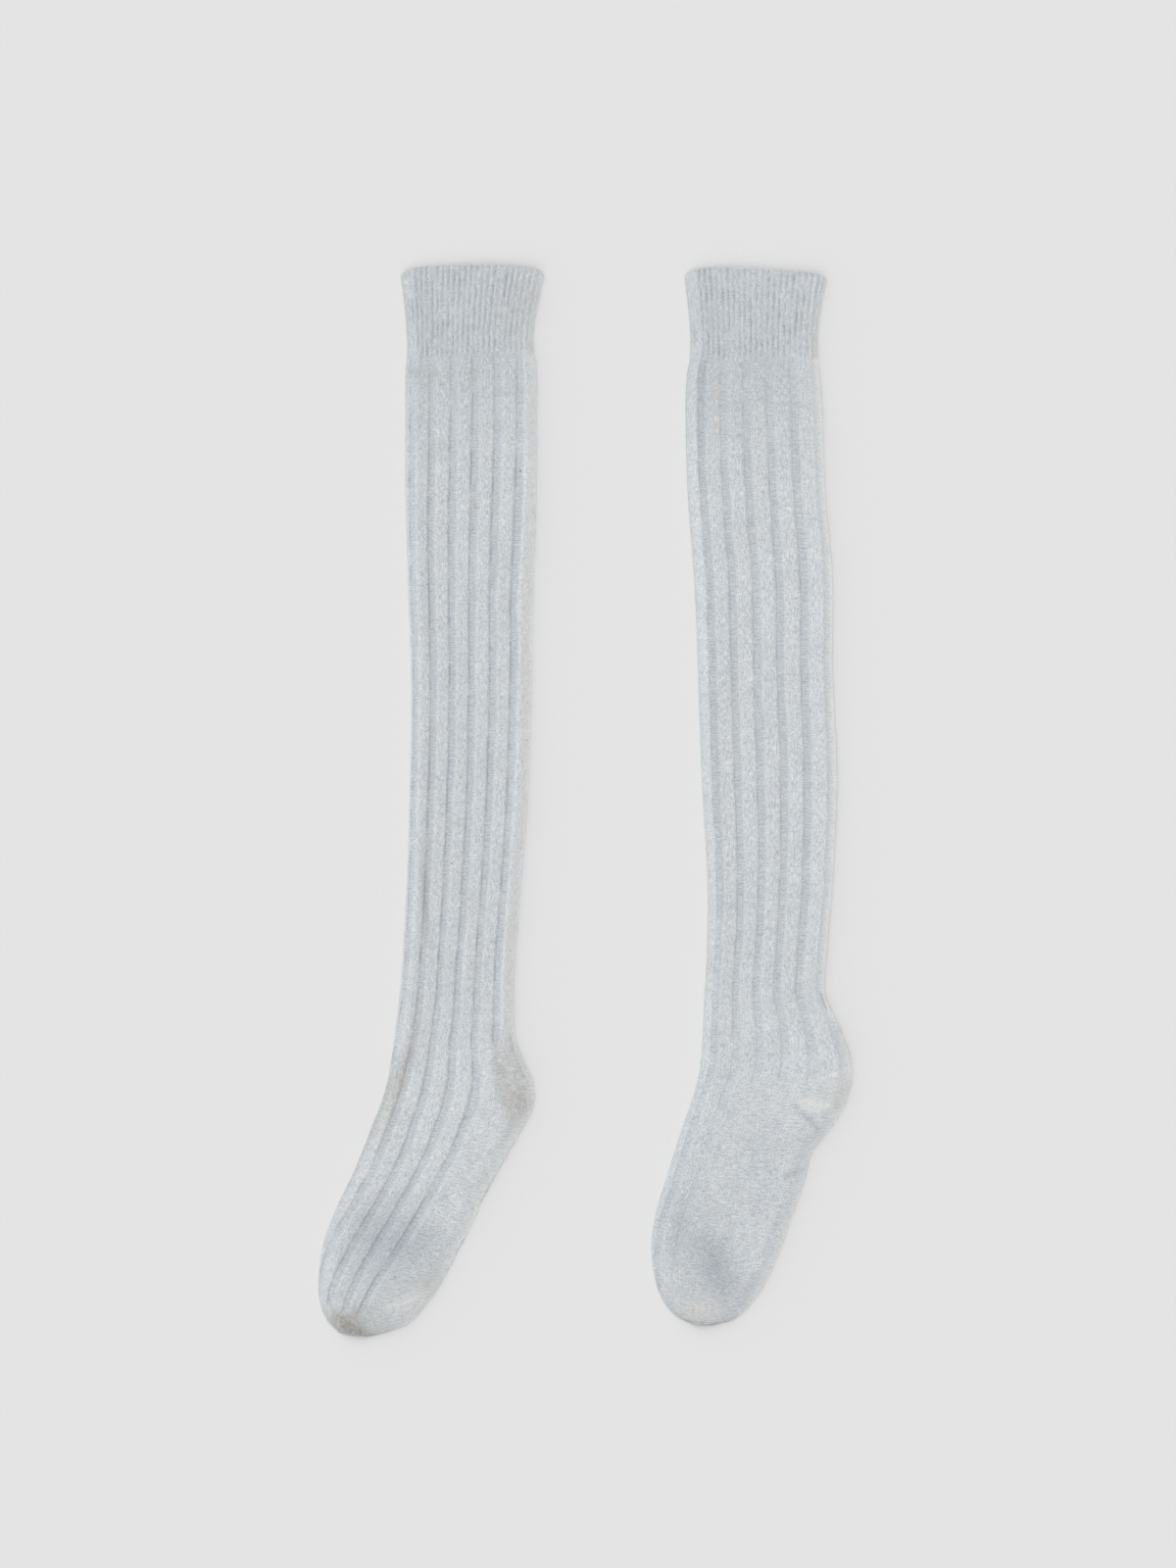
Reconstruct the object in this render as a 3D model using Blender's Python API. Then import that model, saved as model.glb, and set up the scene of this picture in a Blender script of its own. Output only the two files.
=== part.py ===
"""A pair of long ribbed socks laid flat on their sides.

Each one is a knitted tube with an open cuff and a closed toe. Modelled in metres, +Z up, on a surface at z = 0.
The cuffs point to +Y and the toes to -Y. The tables are in millimetres, measured from the middle of each sock's
cuff edge: x to the right, y up the leg.
"""

import math
from collections import namedtuple

import bmesh
import bpy
from mathutils import Vector

MM = 0.001

# Knitting. The tube has 96 wales, so 48 of them show on its upper side.
WALES = 96
HALF = WALES // 2
RIB_REPEAT = 8  # five wales raised and three sunk
RIB_SIDE = (0.0, 0.1, 0.8, 1.0, 1.0)  # height share of the wales 0 to 4 from the middle of a furrow
RIB_HEIGHT = 1.2
CUFF_RIB_HEIGHT = 0.9

# The laid cloth.
UNDER_WALL = 2.1  # the layer that lies on the surface
UPPER_WALL = 2.9  # the layer above, measured at a rib
FOLD_WALL = 3.3  # from the end of the slit between the layers to the outside of the fold
LEAST_GAP = 0.3  # between the two layers
MOST_GAP = 3.6
FOLD_PUFF = 0.7  # the cloth stands up a little beside each fold
FOLD_PUFF_AT = 7.5  # from the fold
FOLD_PUFF_WIDTH = 5.0
CORNER_POWER = 16  # how tightly the ends of the cuff edge turn
CORNER_SHARE = 0.5  # of the bow's height, and the rest is one even arch
SHARP_ANGLE = math.radians(32)  # keeps the narrow ribs of the cuff crisp
DENSE_MARGIN = 4  # wales on the underside, next to each fold, that have points of their own
UNDER_STEP = 8  # wales between points on the rest of the flat underside
WELD = 0.002

# A section runs across the laid sock from the front fold (shin, instep) to the back fold (calf, heel, sole).
# bow: how far its middle rises towards the cuff. turn: the wale that lies on the front fold. loft: the height
# of both layers. knit: the pattern from here on. rings: rings of points from here to the next section.
Section = namedtuple("Section", "name front_x front_y back_x back_y bow turn loft knit rings")

# A crease is a soft trough (depth below 0) or ridge (above 0) along a line in the same plan.
Crease = namedtuple("Crease", "name x0 y0 x1 y1 width height")

# place: where the tables' zero lies. bow_peak: how far across the bow is highest. sole_from: the first wale
# of the plain sole, which takes half of the tube.
Sock = namedtuple("Sock", "name place bow_peak sole_from sections creases")

LEFT = Sock(
    name="sock_left",
    place=(-76.65, 354.5),
    bow_peak=0.6,
    sole_from=43,
    sections=(
        Section("cuff edge", -48.5, 0.8, 48.5, 0.3, 8.5, 5.0, 6.0, "cuff", 2),
        Section("cuff flare", -46.5, -10.5, 45.5, -10.5, 7.0, 5.2, 6.0, "cuff", 2),
        Section("cuff middle", -44.5, -37.5, 41.5, -36.0, 3.0, 5.5, 6.0, "cuff", 1),
        Section("cuff end", -44.5, -52.0, 41.5, -47.5, 1.5, 5.6, 6.0, "cuff", 1),
        Section("leg top", -44.8, -55.5, 41.9, -51.0, 1.5, 5.6, 6.3, "leg", 1),
        Section("below cuff", -45.5, -62.5, 43.5, -58.5, 1.0, 5.7, 6.6, "leg", 1),
        Section("thigh", -45.5, -90.5, 43.5, -90.5, 0.0, 5.8, 6.6, "leg", 2),
        Section("above knee", -45.5, -144.0, 43.5, -144.0, 0.0, 6.2, 6.5, "leg", 2),
        Section("knee", -43.5, -210.5, 41.0, -210.5, 0.0, 6.8, 6.5, "leg", 2),
        Section("upper calf", -41.5, -277.5, 40.0, -277.5, 0.0, 7.0, 6.5, "leg", 2),
        Section("calf", -42.5, -344.0, 38.0, -344.0, 0.0, 7.0, 6.5, "leg", 2),
        Section("lower calf", -44.5, -410.5, 33.0, -410.5, 0.0, 6.9, 6.5, "leg", 2),
        Section("above ankle", -48.5, -477.5, 28.0, -477.5, 0.0, 6.8, 6.8, "leg", 1),
        Section("ankle", -51.5, -504.0, 28.5, -504.0, 0.0, 6.9, 7.2, "leg", 1),
        Section("heel line", -53.5, -520.0, 30.0, -518.5, 0.0, 7.2, 7.6, "foot", 1),
        Section("heel top", -55.5, -532.0, 35.5, -531.5, 0.0, 7.4, 8.0, "foot", 1),
        Section("heel back", -58.0, -546.0, 41.5, -546.5, 0.0, 7.8, 8.2, "foot", 1),
        Section("heel tip", -62.0, -560.0, 41.5, -562.0, 0.0, 8.2, 8.2, "foot", 1),
        Section("heel under", -67.5, -573.5, 34.5, -576.5, 0.0, 8.6, 8.1, "foot", 1),
        Section("arch", -72.0, -585.5, 24.5, -594.0, 0.0, 9.0, 8.0, "foot", 2),
        Section("instep", -81.0, -607.5, 10.5, -619.5, 0.0, 9.8, 7.8, "foot", 2),
        Section("ball", -91.5, -629.5, -2.5, -646.5, 0.0, 10.8, 7.6, "foot", 2),
        Section("toe roots", -101.0, -654.5, -15.5, -672.0, 0.0, 13.0, 7.6, "foot", 2),
        Section("toe cap", -104.5, -679.5, -27.5, -692.0, 0.0, 16.5, 7.4, "foot", 2),
        Section("toes", -103.0, -698.5, -42.5, -709.5, 0.0, 18.5, 6.8, "toe", 2),
        Section("toe end", -95.0, -710.0, -60.0, -716.0, 0.0, 19.0, 5.6, "toe", 2),
        Section("tip", -88.0, -716.5, -71.5, -718.0, 0.0, 19.0, 4.2, "toe", 0),
    ),
    creases=(
        Crease("heel pocket edge", 17.0, -520.0, 19.0, -549.0, 3.0, -0.8),
        Crease("heel pocket turn", 19.0, -549.0, 32.0, -576.0, 3.0, -0.8),
        Crease("hollow behind the toes", -92.0, -651.0, -24.0, -656.0, 13.0, -1.3),
        Crease("toe cap edge", -20.0, -668.0, -46.0, -692.0, 3.0, -0.7),
        Crease("toe cap crown", -24.0, -680.0, -62.0, -704.0, 6.0, 0.6),
        Crease("calf crease", 22.0, -304.0, 40.0, -306.0, 3.0, -0.4),
        Crease("knee crease", -43.0, -199.0, -27.0, -199.5, 2.5, -0.4),
    ),
)

RIGHT = Sock(
    name="sock_right",
    place=(115.85, 353.0),
    bow_peak=0.33,
    sole_from=50,
    sections=(
        Section("cuff edge", -48.0, 1.5, 48.0, -1.5, 8.0, 36.0, 6.0, "cuff", 2),
        Section("cuff flare", -46.5, -9.5, 45.5, -10.5, 6.0, 35.8, 6.0, "cuff", 2),
        Section("cuff middle", -44.5, -32.5, 42.5, -32.5, 2.5, 35.6, 6.0, "cuff", 1),
        Section("cuff end", -44.5, -51.0, 42.5, -50.5, 1.0, 35.5, 6.0, "cuff", 1),
        Section("leg top", -44.9, -54.5, 42.7, -54.0, 1.0, 35.5, 6.3, "leg", 1),
        Section("below cuff", -46.5, -62.5, 43.5, -61.5, 0.5, 35.5, 6.6, "leg", 1),
        Section("thigh", -47.5, -86.0, 45.5, -86.0, 0.0, 35.5, 6.6, "leg", 2),
        Section("above knee", -46.0, -142.5, 47.5, -142.5, 0.0, 35.5, 6.5, "leg", 2),
        Section("knee", -41.5, -202.5, 52.5, -202.5, 0.0, 35.6, 6.5, "leg", 2),
        Section("upper calf", -39.0, -262.5, 52.5, -262.5, 0.0, 35.8, 6.5, "leg", 2),
        Section("calf", -36.5, -336.0, 55.5, -336.0, 0.0, 36.0, 6.5, "leg", 2),
        Section("lower calf", -32.5, -409.5, 52.5, -409.5, 0.0, 36.1, 6.5, "leg", 2),
        Section("above ankle", -33.0, -459.5, 48.5, -459.5, 0.0, 36.3, 6.8, "leg", 1),
        Section("ankle", -34.5, -484.0, 47.5, -484.0, 0.0, 36.4, 7.2, "leg", 1),
        Section("heel rise", -35.5, -506.0, 56.0, -504.0, 0.0, 36.4, 7.8, "leg", 1),
        Section("heel top", -37.0, -529.5, 64.5, -526.5, 0.0, 36.4, 8.0, "leg", 1),
        Section("heel line", -39.5, -544.0, 65.5, -542.0, 0.0, 36.4, 8.2, "foot", 1),
        Section("heel tip", -44.5, -560.5, 60.5, -560.5, 0.0, 36.6, 8.2, "foot", 1),
        Section("heel under", -50.0, -576.0, 49.5, -578.5, 0.0, 36.8, 8.0, "foot", 1),
        Section("arch", -54.5, -590.0, 39.0, -591.5, 0.0, 37.0, 7.8, "foot", 2),
        Section("instep", -60.5, -609.5, 33.5, -611.5, 0.0, 37.4, 7.8, "foot", 2),
        Section("ball", -66.5, -628.5, 24.5, -637.5, 0.0, 38.2, 7.8, "foot", 2),
        Section("toe roots", -70.5, -650.5, 16.0, -660.5, 0.0, 39.4, 7.8, "foot", 2),
        Section("toe cap", -69.5, -671.5, 6.5, -681.5, 0.0, 40.6, 7.6, "foot", 2),
        Section("toes", -64.5, -690.0, -5.0, -698.0, 0.0, 41.0, 6.8, "toe", 2),
        Section("toe end", -54.5, -703.5, -18.5, -707.5, 0.0, 41.0, 5.6, "toe", 2),
        Section("tip", -43.5, -708.5, -31.5, -710.0, 0.0, 41.0, 4.2, "toe", 0),
    ),
    creases=(
        Crease("rib end step", 21.0, -543.0, 64.0, -534.0, 3.0, -0.7),
        Crease("heel ridge", 30.0, -554.0, 58.0, -559.0, 4.5, 0.8),
        Crease("heel gore", 27.0, -562.0, 49.0, -583.0, 4.0, -1.3),
        Crease("sole tuck", 20.0, -609.0, 38.0, -604.0, 3.0, -1.3),
        Crease("sole tuck lip", 18.0, -602.0, 38.0, -597.0, 3.5, 0.7),
        Crease("toe ridge", -50.0, -624.0, -22.0, -640.0, 6.0, 0.7),
        Crease("toe hollow", -46.0, -634.0, -22.0, -660.0, 10.0, -1.1),
        Crease("toe hollow turn", -22.0, -660.0, -15.0, -698.0, 8.0, -1.3),
    ),
)

PALE_BLUE_WOOL = (0.565, 0.597, 0.62, 1.0)


def clear_scene():
    for thing in list(bpy.data.objects):
        bpy.data.objects.remove(thing)


def new_collection(name):
    made = bpy.data.collections.new(name)
    bpy.context.scene.collection.children.link(made)
    return made


def wool_material():
    made = bpy.data.materials.new("pale_blue_wool")
    made.use_nodes = True
    shader = made.node_tree.nodes["Principled BSDF"]
    shader.inputs["Base Color"].default_value = PALE_BLUE_WOOL
    shader.inputs["Roughness"].default_value = 0.95
    shader.inputs["Metallic"].default_value = 0.0
    return made


def sizes_of(section):
    """The columns that change smoothly from section to section, in the table's order."""
    ends = section.front_x, section.front_y, section.back_x, section.back_y
    return *ends, section.bow, section.turn, section.loft


def middle_of(section):
    return Vector((section.front_x + section.back_x, section.front_y + section.back_y)) / 2


def distances(sections):
    """How far down the sock each section lies, along the line of their middles."""
    down = [0.0]
    for above, below in zip(sections, sections[1:]):
        down.append(down[-1] + (middle_of(below) - middle_of(above)).length)
    return down


def slopes(sections, down):
    """How fast each size changes along the sock, at each section."""
    last = len(sections) - 1
    found = []
    for i in range(len(sections)):
        above, below = max(i - 1, 0), min(i + 1, last)
        span = down[below] - down[above]
        pairs = zip(sizes_of(sections[above]), sizes_of(sections[below]))
        found.append([(low - high) / span for high, low in pairs])
    return found


def rings_of(sock):
    """The sections with smooth steps between them, so that there is one for each ring of points."""
    sections = sock.sections
    down = distances(sections)
    slope = slopes(sections, down)
    rings = []
    for i, (above, below) in enumerate(zip(sections, sections[1:])):
        span = down[i + 1] - down[i]
        for step in range(above.rings):
            t = step / above.rings
            share = 2 * t**3 - 3 * t**2 + 1
            leave = (t**3 - 2 * t**2 + t) * span
            reach = (t**3 - t**2) * span
            sizes = [
                a * share + b * (1 - share) + a_slope * leave + b_slope * reach
                for a, b, a_slope, b_slope in zip(sizes_of(above), sizes_of(below), slope[i], slope[i + 1])
            ]
            rings.append(Section(above.name, *sizes, above.knit, above.rings))
    return rings + [sections[-1]]


def wales_with_points(rings):
    """The wales that carry a column of points: all that reach the upper side, and a few underneath."""
    turns = [ring.turn for ring in rings]
    first = math.floor(min(turns)) - DENSE_MARGIN
    last = math.ceil(max(turns)) + HALF + DENSE_MARGIN
    return [*range(first, last + 1), *range(last + UNDER_STEP, first + WALES, UNDER_STEP)]


def rib_share(sock, wale, knit):
    """How high a wale stands, from 0 in a furrow to 1 on a rib or on plain knit."""
    on_sole = (wale - sock.sole_from) % WALES < HALF
    if knit == "cuff":
        return wale % 2
    if knit == "toe" or (knit == "foot" and on_sole):
        return 1.0
    from_furrow = min(wale % RIB_REPEAT, -wale % RIB_REPEAT)
    return RIB_SIDE[from_furrow]


def across_fold(width, loft, share):
    """A point of the flattened tube's upper half, from share 0 on one fold to 1 on the other.

    Gives its distance across, its height above the middle and the outward normal (across, up)."""
    radius = loft / 2
    quarter = math.pi * radius / 2
    run = width - loft
    along = share * (run + 2 * quarter)
    if quarter <= along <= quarter + run:
        return radius + along - quarter, radius, 0.0, 1.0
    side = -1 if along < quarter else 1
    angle = min(along, run + 2 * quarter - along) / radius
    inset = radius * (1 - math.cos(angle))
    across = inset if side < 0 else width - inset
    return across, radius * math.sin(angle), side * math.cos(angle), math.sin(angle)


def crease_height(creases, point):
    """The height that the creases add to the upper layer at a point of the plan."""
    total = 0.0
    for crease in creases:
        start = Vector((crease.x0, crease.y0))
        line = Vector((crease.x1, crease.y1)) - start
        along = max(0.0, min(1.0, (point - start).dot(line) / line.length_squared))
        away = (point - start - line * along).length / crease.width
        total += crease.height * math.exp(-away * away)
    return total


def puff_height(width, across):
    """The soft swelling of the upper layer beside each fold."""
    away = min(abs(across - FOLD_PUFF_AT), abs(width - across - FOLD_PUFF_AT)) / FOLD_PUFF_WIDTH
    return FOLD_PUFF * math.exp(-away * away)


def bow_share(sock, q):
    """The share of the bow's height at share q of the way across: an arch with quickly turned ends."""
    away = abs(q - sock.bow_peak) / (sock.bow_peak if q < sock.bow_peak else 1 - sock.bow_peak)
    return CORNER_SHARE * (1 - away**CORNER_POWER) + (1 - CORNER_SHARE) * (1 - away**2)


def ring_point(sock, ring, wale, inside):
    """A point of the sock's outer or inner skin, in millimetres."""
    front = Vector((ring.front_x, ring.front_y))
    back = Vector((ring.back_x, ring.back_y))
    width = (back - front).length
    across_way = (back - front) / width
    up_leg = Vector((-across_way.y, across_way.x))
    half_turns = ((wale - ring.turn) / HALF) % 2
    upper = half_turns <= 1
    share = half_turns if upper else 2 - half_turns
    gap = max(ring.loft - UNDER_WALL - UPPER_WALL, LEAST_GAP)
    if inside:
        across, rise, out_across, out_up = across_fold(width - 2 * FOLD_WALL, gap, share)
        across += FOLD_WALL
        middle = UNDER_WALL + gap / 2
        flatness = rise / (gap / 2)
    else:
        across, rise, out_across, out_up = across_fold(width, ring.loft, share)
        middle = ring.loft / 2
        flatness = rise / middle
    plan = front + across_way * across + up_leg * ring.bow * bow_share(sock, across / width)
    if not upper:
        return Vector((plan.x, plan.y, middle - rise))
    height = middle + rise + flatness * (crease_height(sock.creases, plan) + puff_height(width, across))
    if inside:
        between = max(LEAST_GAP * flatness, min(height - UNDER_WALL, MOST_GAP))
        return Vector((plan.x, plan.y, UNDER_WALL + between))
    relief = CUFF_RIB_HEIGHT if ring.knit == "cuff" else RIB_HEIGHT
    sunk = relief * (1 - rib_share(sock, wale, ring.knit))
    plan -= across_way * out_across * sunk
    return Vector((plan.x, plan.y, height - out_up * sunk))


def sock_mesh(sock):
    """One closed skin: from the toe's tip up the outside, over the cuff edge and down inside to the toes."""
    rings = rings_of(sock)
    wales = wales_with_points(rings)
    inner = sock.sections[:-2]
    rows = [(ring, False) for ring in reversed(rings)] + [(ring, True) for ring in inner]
    columns = [*wales, wales[0] + WALES]

    bm = bmesh.new()
    bmesh.ops.create_grid(bm, x_segments=len(columns) - 1, y_segments=len(rows) - 1, size=1.0)
    bm.verts.ensure_lookup_table()
    for r, (ring, inside) in enumerate(rows):
        for c, wale in enumerate(columns):
            bm.verts[r * len(columns) + c].co = ring_point(sock, ring, wale, inside) * MM
    bmesh.ops.remove_doubles(bm, verts=bm.verts, dist=WELD * MM)
    ends = [edge for edge in bm.edges if edge.is_boundary]
    bmesh.ops.holes_fill(bm, edges=ends, sides=len(columns))
    bmesh.ops.triangulate(bm, faces=[face for face in bm.faces if len(face.verts) > 4])
    bmesh.ops.recalc_face_normals(bm, faces=bm.faces)
    mesh = bpy.data.meshes.new(sock.name)
    bm.to_mesh(mesh)
    bm.free()
    mesh.shade_smooth()
    mesh.set_sharp_from_angle(angle=SHARP_ANGLE)
    return mesh


def add_sock(sock, collection, pair, material):
    made = bpy.data.objects.new(sock.name, sock_mesh(sock))
    made.data.materials.append(material)
    made.parent = pair
    made.location = (sock.place[0] * MM, sock.place[1] * MM, 0.0)
    collection.objects.link(made)


def main():
    clear_scene()
    collection = new_collection("pair_of_socks")
    pair = bpy.data.objects.new("pair", None)
    collection.objects.link(pair)
    material = wool_material()
    for sock in (LEFT, RIGHT):
        add_sock(sock, collection, pair, material)


main()
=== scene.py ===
"""The looks of a pair of long ribbed socks, laid flat on a pale surface.

Each sock is one knitted tube with a wall: an outer skin, the rounded knit edge of its cuff, and an inner
skin. Short loose fibres stand on the wool. The tables are in millimetres, measured from the middle of each
sock's cuff edge, x to the right and y up the leg. Marks and specks are measured from the middle of the pair.
"""

import math
from collections import namedtuple

import bmesh
import bpy
import numpy as np
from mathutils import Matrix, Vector, noise


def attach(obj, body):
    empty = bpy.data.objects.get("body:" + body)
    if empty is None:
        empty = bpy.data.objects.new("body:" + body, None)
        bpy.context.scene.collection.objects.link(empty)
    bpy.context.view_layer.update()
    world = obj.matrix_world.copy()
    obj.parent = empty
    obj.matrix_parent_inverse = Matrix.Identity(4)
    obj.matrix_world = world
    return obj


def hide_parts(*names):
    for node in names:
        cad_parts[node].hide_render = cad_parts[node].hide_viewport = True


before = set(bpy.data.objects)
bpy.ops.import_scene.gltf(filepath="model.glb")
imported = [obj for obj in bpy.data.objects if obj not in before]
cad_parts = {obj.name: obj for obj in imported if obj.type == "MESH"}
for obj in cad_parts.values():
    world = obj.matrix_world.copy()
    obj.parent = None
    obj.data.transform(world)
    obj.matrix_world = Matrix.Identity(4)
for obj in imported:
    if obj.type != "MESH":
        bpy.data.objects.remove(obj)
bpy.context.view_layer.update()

MM = 0.001

# ---- Knitting. The tube has 96 wales, and about half of them show on its upper side.
WALES = 96
HALF = WALES // 2
RIB_REPEAT = 8  # five wales raised and three sunk
WALE = 1.82  # width of a stitch
COURSE = 1.45  # height of a stitch
STEEP_FOOT = 0.8  # wales from the middle of a furrow to the foot of the rib that leans over it
STEEP_WALL = 0.8  # and from there to the top of that rib
GENTLE_FOOT = 1.0  # the same for the rib on its other side, which rises slowly
GENTLE_WALL = 2.0
FRONT_REACH = 5.5  # wales on each side of the furrow nearest the front fold that keep their depth
FRONT_FADE = 3.0  # and the wales over which that fades
SOLE_EDGE = 1.2  # wales over which a rib runs out into the plain sole
FOOT_SHADE = 0.42  # half the width of the painted shade at the steep rib's foot
FOOT_SHADE_AT = 0.2  # and how far its middle lies up the rib, in wales
FOOT_SHADE_STRENGTH = 0.6
CUFF_GROOVE = 0.4  # half the width of a cuff groove, in wales
CUFF_GROOVE_DEPTH = 0.72
# how dark the painted shade in a cuff groove is
CUFF_GROOVE_PAINTED_SHADE = 0.75
CUFF_WANDER = 0.4  # the cuff's grooves wander this much as far as the furrows
CUFF_RIB_HEIGHT = 1.0
RIBS_AT_CUFF = 0.55  # the cuff draws the wide ribs in, so they start lower
WALE_RELIEF = 0.07  # each wale stands up a little in its middle
UNDER_RELIEF = 0.7  # share of the relief that is left where the sock presses on the surface
BACK_FOLD_PAINTED_LIGHT = 0.95  # painted light: how much lighter the wool is painted along the back fold
PAINTED_LIGHT_REACH = 11.0
PAINTED_LIGHT_LOST_IN_CUFF = 0.4

# Where the knit changes: how far before a line that starts, and over what length, in millimetres.
CUFF_ENDS = (-0.5, 3.5)
RIBS_RISE = (0.0, 90.0)  # after the cuff
HEEL_RIBS_START = (70.0, 60.0)
FOOT_RIBS_START = (0.0, 60.0)
FLAT_FOLD_STARTS = (30.0, 60.0)
SOLE_STARTS = (1.5, 4.0)
TOE_STARTS = (4.0, 8.0)

# How uneven the knit is: by how much, in lumps of this size in millimetres, and its own seed.
Uneven = namedtuple("Uneven", "amount size seed")
SLOW_WANDER = Uneven(0.26, 34.0, 1)  # of the furrows, in wales
QUICK_WANDER = Uneven(0.16, 9.0, 2)
LUMPS = Uneven(0.22, 11.0, 3)  # of the surface, in millimetres
BUMPS = Uneven(0.16, 3.6, 4)
CUFF_GROOVE_SHADE_CHANGE = Uneven(0.9, 7.0, 5)
CUFF_DEPTH_CHANGE = Uneven(1.0, 6.0, 6)
GENTLE_CHANGE = Uneven(0.4, 22.0, 7)  # of the gentle rib's foot, in wales
SHADE_CHANGE = Uneven(1.3, 13.0, 8)
SOCK_SEED_STEP = 7.3  # how far apart two seeds lie in the noise
KNIT_SEED_STEP = 31.7

# ---- The laid cloth.
UNDER_WALL = 2.1  # the layer that lies on the surface
UPPER_WALL = 2.9  # the layer above, measured at a rib
FOLD_WALL = 4.2  # from the end of the slit between the layers to the outside of the fold
LEAST_GAP = 0.3  # between the two layers
MOST_GAP = 3.6
FOLD_PUFF = 0.7  # the cloth stands up a little beside each fold
FOLD_PUFF_AT = 7.5
FOLD_PUFF_WIDTH = 5.0
CROWDING = 0.08  # the wales lie a little closer towards the front fold
HEEL_CROWDING = 0.22  # and more so at the heel, whose pocket is stretched
HEEL_REACH = 34.0
HEEL_LEAD = 8.0  # the pocket's middle lies this far before the heel's tip
LIP = 0.25  # the fold is widest this high above the surface
LIP_SHARE = 0.3  # and at most at this share of the loft
LEG_SLOPE = 8.5  # and its back rounds down to that over this width
FOOT_SLOPE = 15.0  # and over this one on the foot, which is thicker but lies flatter at its edges
MOST_SLOPE = 0.45  # but at most over this share of the whole width
FOLD_TAPER = 2.0
FOLD_CREEP = 1.5  # the wales lie closer right beside the fold
FOLD_PLAIN = 2.5  # the relief rises from nothing at the fold to its full height here
CORNER_POWER = 30  # how tightly the ends of the cuff edge turn
CORNER_SHARE = 0.42
RIM_LENGTH = 3.0  # of knit in the rounded cuff edge, from the outer to the inner skin
RIM_BULGE = 0.9  # how far it swells out
RIM_IN_GROOVE = 0.55  # the share of that in a groove, and what a rib adds
RIM_ON_RIB = 0.6
TIP_BULGE = 0.6  # how far the closed end of the toe swells out
TIP_LOFT = 0.35  # and the loft that is left at its very end
TIP_AIM = 2.0  # the toe's last stretch, which says where its end points

# ---- The mesh.
OUTER_ROWS = 450  # rows of points from the cuff edge to the toe
RIM_STEPS = (0.2, 0.5, 0.8)
TIP_STEPS = (15, 32, 50, 70, 84)  # degrees round the closed end of the toe
INNER_STEPS = (0, 3, 6, 9, 12, 16, 20, 26, 34, 44, 54, 66, 80, 110, 150, 210, 280, 350, 420, 480, 510)
INNER_STEPS += (530, 545)
POINTS_A_WALE = 3
UNDER_WALES = (-2.0, -0.7, 0.7, 2.0, 4.0)  # points on each furrow and rib of the underside
WELD = 0.002
SHARP_ANGLE = 50.0  # degrees: only the lip under each fold turns more

# A section runs across the laid sock from the front fold (shin, instep) to the back fold (calf, heel, sole).
# bow: how far its middle rises towards the cuff. turn: the wale on the front fold. loft: height of both
# layers.
Section = namedtuple("Section", "name front_x front_y back_x back_y bow turn loft")

# A crease is a soft trough (height below 0) or ridge (above 0) along a line in the plan.
Crease = namedtuple("Crease", "x0 y0 x1 y1 width height")

# place: where the tables' zero lies. bow_peak: how far across the bow is highest. sole_from: the first wale
# of the plain sole. upper_wales: how many wales show on the upper side. dense: those that carry close points.
# rib_height and rib_shade: how high the ribs stand, and how dark the painted shade is at their feet.
# front_furrow: the wale of the furrow beside the front fold. front_depth: how far it keeps its depth to the
# toe. heel_ribs and foot_ribs: how high the ribs stand there.
Sock = namedtuple(
    "Sock",
    "side place bow_peak sole_from upper_wales dense rib_height rib_shade front_furrow front_depth"
    " heel_ribs foot_ribs seed sections creases",
)

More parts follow.
